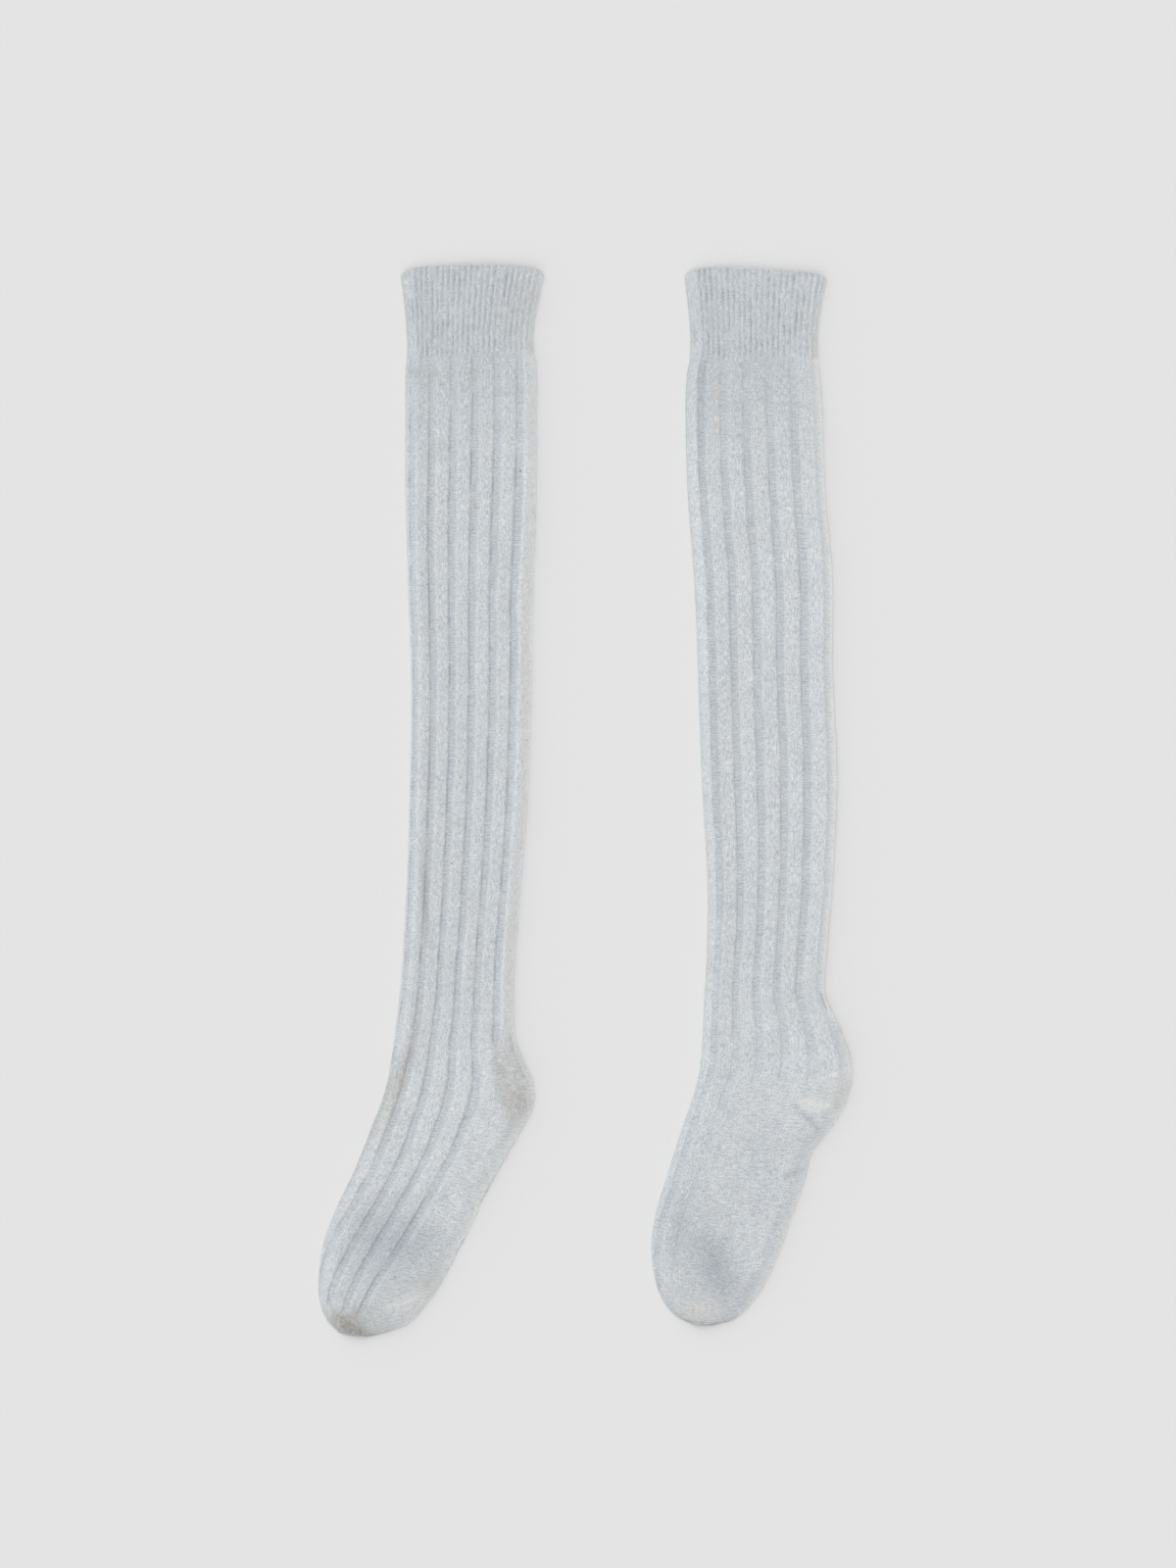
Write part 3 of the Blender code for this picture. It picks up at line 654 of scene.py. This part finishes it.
def wall_mesh(name, points, knit, wales, courses):
    """One closed wall of the given rows of points, with a map that counts its stitches."""
    rows, columns = points.shape[:2]
    bm = bmesh.new()
    bmesh.ops.create_grid(bm, x_segments=columns - 1, y_segments=rows - 1, size=1.0)
    mesh = bpy.data.meshes.new(name)
    bm.to_mesh(mesh)
    bm.free()
    mesh.vertices.foreach_set("co", (points * MM).ravel())
    for part, values in knit.items():
        add_values(mesh, part, values)
    for kind in MARK_KINDS:
        add_values(mesh, kind, mark_share(kind, points[:, :, 0], points[:, :, 1]))
    stitches = np.stack(np.broadcast_arrays(wales[None, :], courses[:, None]), axis=-1).reshape(-1, 2)
    corners = np.empty(len(mesh.loops), np.int32)
    mesh.loops.foreach_get("vertex_index", corners)
    stitch_map = mesh.uv_layers.new(name="stitches")
    stitch_map.uv.foreach_set("vector", stitches[corners].astype(np.float32).ravel())

    bm = bmesh.new()
    bm.from_mesh(mesh)
    bmesh.ops.remove_doubles(bm, verts=bm.verts, dist=WELD * MM)
    ends = [edge for edge in bm.edges if edge.is_boundary]
    bmesh.ops.holes_fill(bm, edges=ends, sides=columns)
    bmesh.ops.triangulate(bm, faces=[face for face in bm.faces if len(face.verts) > 4])
    bmesh.ops.recalc_face_normals(bm, faces=bm.faces)
    bm.to_mesh(mesh)
    bm.free()
    mesh.shade_smooth()
    mesh.set_sharp_from_angle(angle=math.radians(SHARP_ANGLE))
    return mesh


def add_piece(name, mesh, material):
    made = bpy.data.objects.new(name, mesh)
    mesh.materials.append(material)
    bpy.context.scene.collection.objects.link(made)
    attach(made, "root")
    return made


def outward(points):
    """The outward direction at each point of the outer rows."""
    along = np.gradient(points, axis=0)
    across = np.gradient(points, axis=1)
    normals = np.cross(across, along)
    return normals / np.maximum(np.linalg.norm(normals, axis=-1, keepdims=True), 1e-9)


def fibre_mesh(name, points, seed):
    """Short loose fibres that stand or lie on the outer skin. Each is a closed thin spike."""
    bm = bmesh.new()
    bmesh.ops.create_cone(bm, cap_ends=True, segments=3, radius1=1.0, radius2=0.0, depth=1.0)
    bmesh.ops.translate(bm, verts=bm.verts, vec=(0.0, 0.0, 0.5))
    one = bpy.data.meshes.new(name)
    bmesh.ops.triangulate(bm, faces=bm.faces)
    bm.to_mesh(one)
    bm.free()
    shape = np.array([vertex.co for vertex in one.vertices])
    faces = np.array([face.vertices for face in one.polygons])
    bpy.data.meshes.remove(one)

    rng = np.random.default_rng(seed)
    normals = outward(points)
    area = np.linalg.norm(np.cross(np.gradient(points, axis=0), np.gradient(points, axis=1)), axis=-1)
    at_fold = 1.0 - np.clip(np.abs(normals[:, :, 2]), 0.0, 1.0)
    weight = area * (1.0 + FOLD_FIBRES * at_fold) * (points[:, :, 2] > FIBRES_FROM)
    chance = np.cumsum(weight.ravel()) / weight.sum()
    chosen = np.searchsorted(chance, rng.random(FIBRES_A_SOCK))
    rows, columns = np.divmod(chosen, points.shape[1])
    next_row = np.clip(rows + 1, 0, points.shape[0] - 1)
    next_column = np.clip(columns + 1, 0, points.shape[1] - 1)
    root = points[rows, columns]
    root = root + (points[next_row, columns] - root) * rng.random((FIBRES_A_SOCK, 1))
    root = root + (points[rows, next_column] - points[rows, columns]) * rng.random((FIBRES_A_SOCK, 1))
    normal = normals[rows, columns]
    lean = rng.normal(size=(FIBRES_A_SOCK, 3))
    lean -= normal * (lean * normal).sum(axis=1, keepdims=True)
    lean /= np.linalg.norm(lean, axis=1, keepdims=True)
    stand = rng.uniform(*FIBRE_STAND, (FIBRES_A_SOCK, 1))
    way = normal * stand + lean * (1.0 - FIBRE_LEAN * stand)
    way /= np.linalg.norm(way, axis=1, keepdims=True)
    side = np.cross(way, normal)
    side /= np.maximum(np.linalg.norm(side, axis=1, keepdims=True), 1e-6)
    other = np.cross(way, side)
    fold = at_fold[rows, columns][:, None]
    length = rng.uniform(*FIBRE_LENGTH, (FIBRES_A_SOCK, 1)) * mix(1.0, FOLD_REACH, fold)
    radius = FIBRE_RADIUS * rng.uniform(*RADIUS_SPREAD, (FIBRES_A_SOCK, 1))
    spikes = root[:, None, :] - FIBRE_ROOT * normal[:, None, :]
    spikes = spikes + shape[None, :, 0:1] * (side * radius)[:, None, :]
    spikes = spikes + shape[None, :, 1:2] * (other * radius)[:, None, :]
    spikes = spikes + shape[None, :, 2:3] * (way * length)[:, None, :]
    spikes[:, :, 2] = np.maximum(spikes[:, :, 2], FIBRE_FLOOR)
    numbers = faces[None, :, :] + (np.arange(FIBRES_A_SOCK) * len(shape))[:, None, None]
    mesh = bpy.data.meshes.new(name)
    mesh.from_pydata((spikes.reshape(-1, 3) * MM).tolist(), [], numbers.reshape(-1, 3).tolist())
    mesh.shade_smooth()
    return mesh


# ---- Materials. Sizes are in millimetres.

HEATHER = 1.2  # tufts of lighter and darker wool in the yarn, about twice their real size
TINTS = 3.2  # patches in which fibres of another tint show
CLOUDS = 12.0  # fainter ones from uneven yarn and wear
PATCHES = 2.2  # soil and wear are broken up this finely
NAP = 0.9  # the brushed fibres of the surface, coarser than they are
KNIT_WANDER = 3.2  # over this size the stitches wander by some wales and courses
KNIT_WANDER_BY = (0.7, 1.1, 0.0)
STREAKS_DOWN = (0.9, 3.6)  # how wide and how long the yarn's streaks are down the ribs
STREAKS_OVER = (5.0, 0.85)  # and across them
LOOSE_WOOL = 2.0
CARD_GRAIN = 1.5
RELIEF = 0.75  # the height of nap and stitches in the bump
SPECK_DEPTH = 50.0  # a speck goes right through the layers
SLANT = 1.1  # courses that a stitch's leg rises for one wale across

YARN_SHADES = ((0.34, "b8bec5"), (0.46, "d8dde1"), (0.54, "e5e9ec"), (0.66, "fbfcfc"))
# Painted light: the lighter tones of the wool along the back fold.
BACK_FOLD_LIGHT_TONES = ((0.36, "d9dde0"), (0.45, "f6f8f9"), (0.58, "ffffff"))
LOOSE_SHADES = ((0.3, "dfe5ea"), (0.5, "f2f4f5"), (0.7, "fbf9f6"))
CARD_SHADES = ((0.3, "e0e0e0"), (0.7, "e2e2e2"))
CLOUD_SHADES = ((0.3, 0.93), (0.7, 1.0))
# Painted shade: how dark the gaps between stitches are painted, and the knit in furrows and cuff grooves, at
# each steep rib's foot, in and below the cuff and along the front fold.
PAINTED_GAP_SHADES = ((0.0, 0.86), (0.6, 1.0))
PAINTED_KNIT_SHADES = (("furrow", "eaecee"), ("foot", "dcdfe3"), ("cuff", "f3f4f5"), ("front", "eff1f2"))
BLUE_FIBRES = "b4c2d2"
BEIGE_FIBRES = "d6cdc2"
SOIL = "a69f94"
# paler patches: wear, and painted light on the right toe
WEAR_AND_LIGHT_TONE = "ecebe6"
# painted shade of the grey marks, in hollows and along creases
PAINTED_SHADE_GREY = "dcdfe3"
WHITE = "ffffff"
SHEEN = "f1f3f4"


def colour(code):
    """The linear colour of an sRGB hex value."""
    parts = [int(code[i : i + 2], 16) / 255 for i in (0, 2, 4)]
    linear = [p / 12.92 if p <= 0.04045 else ((p + 0.055) / 1.055) ** 2.4 for p in parts]
    return (*linear, 1.0)


def per_metre(size):
    """The texture scale that gives lumps of this size in millimetres."""
    return 1000.0 / size


def add_node(tree, kind, values=None, out=0, **settings):
    """Adds a node, sets and links its inputs by name or number, and returns one of its outputs."""
    node = tree.nodes.new("ShaderNode" + kind)
    for name, setting in settings.items():
        setattr(node, name, setting)
    for key, value in (values or {}).items():
        socket = node.inputs[key]
        if isinstance(value, bpy.types.NodeSocket):
            tree.links.new(value, socket)
        else:
            socket.default_value = value
    return node.outputs[out]


def blend(tree, share, under, over, way="MIX"):
    """One colour over another by this share, or the two multiplied."""
    return add_node(tree, "Mix", {0: share, 6: under, 7: over}, out=2, data_type="RGBA", blend_type=way)


def share_of(tree, name):
    """The share of this name that the mesh carries."""
    return add_node(tree, "Attribute", attribute_name=name, out=2)


def add_ramp(tree, value, stops):
    """A colour ramp with these stops, each a place and a grey level or hex colour."""
    output = add_node(tree, "ValToRGB", {0: value})
    ramp = output.node.color_ramp
    while len(ramp.elements) < len(stops):
        ramp.elements.new(0.5)
    for element, (place, value) in zip(ramp.elements, stops):
        element.position = place
        element.color = colour(value) if isinstance(value, str) else (value, value, value, 1.0)
    return output


def new_material(name):
    made = bpy.data.materials.new(name)
    made.use_nodes = True
    return made, made.node_tree, made.node_tree.nodes["Principled BSDF"]


def stitch_counts(tree, place):
    """How many wales round and courses down the sock a point is. The counts wander a little, as hand does."""
    counts = add_node(tree, "UVMap", uv_map="stitches")
    scale = per_metre(KNIT_WANDER)
    wander = add_node(tree, "TexNoise", {"Vector": place, "Scale": scale, "Detail": 1.0}, out=1)
    wander = add_node(tree, "VectorMath", {0: wander, 1: (0.5, 0.5, 0.5)}, operation="SUBTRACT")
    wander = add_node(tree, "VectorMath", {0: wander, 1: KNIT_WANDER_BY}, operation="MULTIPLY")
    return add_node(tree, "VectorMath", {0: counts, 1: wander}, operation="ADD")


def yarn_streaks(tree, counts, across):
    """Short streaks of yarn, 0 to 1: they run down the ribs, and across in plain knit and in furrows."""
    found = []
    for width, length in (STREAKS_DOWN, STREAKS_OVER):
        scale = (WALE / width, COURSE / length, 1.0)
        streaks = add_node(tree, "VectorMath", {0: counts, 1: scale}, operation="MULTIPLY")
        streaks = {"Vector": streaks, "Scale": 1.0, "Detail": 2.0, "Roughness": 0.6}
        found.append(add_node(tree, "TexNoise", streaks))
    down, over = found
    return add_node(tree, "Mix", {"Factor": across, 2: down, 3: over}, data_type="FLOAT")


def stitch_height(tree, counts):
    """The height of the stitches, 0 to 1: chevrons on the ribs and low bars in the furrows."""
    parts = add_node(tree, "SeparateXYZ", {0: counts}).node
    wale, course = parts.outputs[0], parts.outputs[1]
    from_middle = add_node(tree, "Math", {0: wale, 1: 0.5}, operation="PINGPONG")
    turned = add_node(tree, "Math", {0: from_middle, 1: math.tau}, operation="MULTIPLY")
    leg = add_node(tree, "Math", {0: turned}, operation="SINE")
    slanted = add_node(tree, "Math", {0: from_middle, 1: SLANT, 2: course}, operation="MULTIPLY_ADD")
    lobe = add_node(tree, "Math", {0: slanted, 1: 0.5}, operation="PINGPONG")
    lobe = add_node(tree, "Math", {0: lobe, 1: 1.3, 2: 0.35}, operation="MULTIPLY_ADD")
    chevron = add_node(tree, "Math", {0: leg, 1: lobe}, operation="MULTIPLY")
    bar = add_node(tree, "Math", {0: course, 1: 0.5}, operation="PINGPONG")
    bar = add_node(tree, "Math", {0: bar, 1: 2.0}, operation="MULTIPLY")
    taper = add_node(tree, "Math", {0: 1.0, 1: from_middle}, operation="SUBTRACT")
    bar = add_node(tree, "Math", {0: bar, 1: taper}, operation="MULTIPLY")
    furrow = share_of(tree, "furrow")
    return add_node(tree, "Mix", {"Factor": furrow, 2: chevron, 3: bar}, data_type="FLOAT")


def brushed_wool():
    """Brushed wool-blend rib knit: a soft pale blue-grey heather whose short fibres blur the stitches."""
    made, tree, shader = new_material("brushed_wool_rib_knit")
    place = add_node(tree, "TexCoord", out=3)
    counts = stitch_counts(tree, place)
    stitches = stitch_height(tree, counts)
    furrow = share_of(tree, "furrow")
    across = add_node(tree, "Math", {0: share_of(tree, "plain"), 1: furrow}, operation="MAXIMUM")
    streaks = yarn_streaks(tree, counts, across)

    # Yarn spun of lighter and darker wool.
    tufts = {"Vector": place, "Scale": per_metre(HEATHER), "Detail": 3.0, "Roughness": 0.65}
    tufts = add_node(tree, "TexNoise", tufts)
    tufts = add_node(tree, "Mix", {"Factor": 0.5, 2: tufts, 3: streaks}, data_type="FLOAT")
    wool = add_ramp(tree, tufts, YARN_SHADES)

    # Fibres of other tints in the blend.
    tints = {"Vector": place, "Scale": per_metre(TINTS), "Detail": 2.0}
    tints = add_node(tree, "TexNoise", tints, out=1)
    tints = add_node(tree, "SeparateColor", {0: tints}).node
    blue = add_node(tree, "MapRange", {"Value": tints.outputs[0], 1: 0.52, 2: 0.72, 3: 0.0, 4: 0.2})
    beige = add_node(tree, "MapRange", {"Value": tints.outputs[1], 1: 0.55, 2: 0.75, 3: 0.0, 4: 0.2})
    wool = blend(tree, blue, wool, colour(BLUE_FIBRES))
    wool = blend(tree, beige, wool, colour(BEIGE_FIBRES))

    # Larger, fainter clouds from uneven yarn and wear.
    clouds = add_node(tree, "TexNoise", {"Vector": place, "Scale": per_metre(CLOUDS), "Detail": 2.0})
    wool = blend(tree, 1.0, wool, add_ramp(tree, clouds, CLOUD_SHADES), "MULTIPLY")

    # Painted shade: the gaps between the stitches are painted darker, and so is the knit in the furrows and
    # cuff grooves, at each steep rib's foot, in and just below the cuff, and along the front fold.
    wool = blend(tree, 1.0, wool, add_ramp(tree, stitches, PAINTED_GAP_SHADES), "MULTIPLY")
    for name, shade in PAINTED_KNIT_SHADES:
        shaded = blend(tree, share_of(tree, name), colour(WHITE), colour(shade))
        wool = blend(tree, 1.0, wool, shaded, "MULTIPLY")

    # Painted light: along the back fold, which faces away from the window light, the wool is painted lighter.
    wool = blend(tree, share_of(tree, "edge"), wool, add_ramp(tree, tufts, BACK_FOLD_LIGHT_TONES))

    # Soil and paler patches (wear, and painted light on the right toe), broken up by the yarn, and the grey
    # marks:
    # painted shade in hollows, along creases and faintly over whole places.
    patchy = add_node(tree, "TexNoise", {"Vector": place, "Scale": per_metre(PATCHES), "Detail": 3.0})
    patchy = add_node(tree, "MapRange", {"Value": patchy, 1: 0.32, 2: 0.66, 3: 0.35, 4: 1.0})
    for name, shade in (("soil", SOIL), ("wear_and_painted_light", WEAR_AND_LIGHT_TONE)):
        patches = add_node(tree, "Math", {0: share_of(tree, name), 1: patchy}, operation="MULTIPLY")
        wool = blend(tree, patches, wool, colour(shade))
    # Painted shade of the grey marks.
    painted_grey_shade = blend(tree, share_of(tree, "grey"), colour(WHITE), colour(PAINTED_SHADE_GREY))
    wool = blend(tree, 1.0, wool, painted_grey_shade, "MULTIPLY")

    for speck in SPECKS:
        at = (speck.x * MM, speck.y * MM, 0.0)
        size = (speck.radius * MM, speck.radius * MM, SPECK_DEPTH * MM)
        middle = {"Vector": place, "Location": at, "Scale": size}
        middle = add_node(tree, "Mapping", middle, vector_type="TEXTURE")
        ball = add_node(tree, "TexGradient", {0: middle}, out=1, gradient_type="SPHERICAL")
        ball = add_node(tree, "MapRange", {"Value": ball, 1: 0.0, 2: 0.5, 3: 0.0, 4: 1.0})
        wool = blend(tree, ball, wool, colour(speck.tint))
    tree.links.new(wool, shader.inputs["Base Color"])

    # Relief: stitches under a nap, half as strong along the folds.
    nap = {"Vector": place, "Scale": per_metre(NAP), "Detail": 3.0, "Roughness": 0.65}
    nap = add_node(tree, "TexNoise", nap)
    relief = add_node(tree, "Mix", {"Factor": 0.45, 2: nap, 3: streaks}, data_type="FLOAT")
    relief = add_node(tree, "Mix", {"Factor": 0.45, 2: relief, 3: stitches}, data_type="FLOAT")
    fold = share_of(tree, "fold")
    strength = add_node(tree, "MapRange", {"Value": fold, 1: 0.0, 2: 1.0, 3: 1.0, 4: 0.5})
    bump = add_node(tree, "Bump", {"Height": relief, "Strength": strength, "Distance": RELIEF * MM})
    tree.links.new(bump, shader.inputs["Normal"])
    rough = add_node(tree, "MapRange", {"Value": nap, 1: 0.3, 2: 0.7, 3: 0.86, 4: 1.0})
    tree.links.new(rough, shader.inputs["Roughness"])
    shader.inputs["Specular IOR Level"].default_value = 0.25
    shader.inputs["Sheen Weight"].default_value = 0.6
    shader.inputs["Sheen Roughness"].default_value = 0.5
    shader.inputs["Sheen Tint"].default_value = colour(SHEEN)
    return made


def loose_wool():
    """Loose wool fibres: the same blend, lighter because the light passes round each fibre."""
    made, tree, shader = new_material("loose_wool_fibre")
    place = add_node(tree, "TexCoord", out=3)
    kinds = add_node(tree, "TexNoise", {"Vector": place, "Scale": per_metre(LOOSE_WOOL), "Detail": 2.0})
    tree.links.new(add_ramp(tree, kinds, LOOSE_SHADES), shader.inputs["Base Color"])
    rough = add_node(tree, "MapRange", {"Value": kinds, 1: 0.3, 2: 0.7, 3: 0.8, 4: 0.95})
    tree.links.new(rough, shader.inputs["Roughness"])
    shader.inputs["Specular IOR Level"].default_value = 0.2
    shader.inputs["Sheen Weight"].default_value = 0.3
    return made


def matt_card():
    """Matt white card under the socks: even, pale and without gloss."""
    made, tree, shader = new_material("matt_white_card")
    place = add_node(tree, "TexCoord", out=3)
    grain = add_node(tree, "TexNoise", {"Vector": place, "Scale": per_metre(CARD_GRAIN), "Detail": 2.0})
    tree.links.new(add_ramp(tree, grain, CARD_SHADES), shader.inputs["Base Color"])
    shader.inputs["Roughness"].default_value = 0.95
    shader.inputs["Specular IOR Level"].default_value = 0.1
    return made


# ---- The pair.


def add_sock(sock, wool, fibre):
    """Adds one sock and its loose fibres, in place of the CAD sock."""
    wales = columns_of(sock)
    points, knit_of, courses, outer_rows = sock_rows(sock, wales)
    points[:, :, 0] += sock.place[0]
    points[:, :, 1] += sock.place[1]
    name = "knit_" + sock.side
    knit = add_piece(name, wall_mesh(name, points, knit_of, wales, courses), wool)
    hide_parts("sock_" + sock.side)
    name = "fuzz_" + sock.side
    fuzz = add_piece(name, fibre_mesh(name, points[:outer_rows], FIBRE_SEED + sock.seed), fibre)


# ---- The studio.

VIEW_CENTRE = (2.0, 11.5)  # the middle of the picture, on the surface
VIEW_HEIGHT = 1066.7  # how much of the surface the picture's long side takes in
LENS = 120.0
SENSOR = 36.0
FLOOR_HALF = 6.0  # metres
ROOM_LIGHT = 0.54
WINDOW_LIGHT = 2.05
WINDOW_SPREAD = 150.0  # degrees: one very broad, soft source
WINDOW_FROM = (-1.0, 0.35, 1.0)


def add_camera():
    made = bpy.data.cameras.new("overhead_camera")
    made.lens = LENS
    made.sensor_width = SENSOR
    away = VIEW_HEIGHT * LENS / SENSOR
    camera = bpy.data.objects.new("overhead_camera", made)
    camera.location = (VIEW_CENTRE[0] * MM, VIEW_CENTRE[1] * MM, away * MM)
    bpy.context.scene.collection.objects.link(camera)
    bpy.context.scene.camera = camera


def add_floor():
    bm = bmesh.new()
    bmesh.ops.create_grid(bm, x_segments=1, y_segments=1, size=FLOOR_HALF)
    mesh = bpy.data.meshes.new("floor")
    bm.to_mesh(mesh)
    bm.free()
    mesh.materials.append(matt_card())
    floor = bpy.data.objects.new("floor", mesh)
    bpy.context.scene.collection.objects.link(floor)


def light_room():
    world = bpy.data.worlds.new("soft_room")
    world.use_nodes = True
    backdrop = world.node_tree.nodes["Background"]
    backdrop.inputs["Color"].default_value = colour(WHITE)
    backdrop.inputs["Strength"].default_value = ROOM_LIGHT
    bpy.context.scene.world = world
    made = bpy.data.lights.new("window_light", "SUN")
    made.angle = math.radians(WINDOW_SPREAD)
    made.energy = WINDOW_LIGHT
    window = bpy.data.objects.new("window_light", made)
    window.rotation_euler = (-Vector(WINDOW_FROM)).to_track_quat("-Z", "Y").to_euler()
    bpy.context.scene.collection.objects.link(window)


bpy.context.scene.view_settings.view_transform = "Standard"
add_camera()
light_room()
add_floor()
wool = brushed_wool()
fibre = loose_wool()
for sock in (LEFT, RIGHT):
    add_sock(sock, wool, fibre)
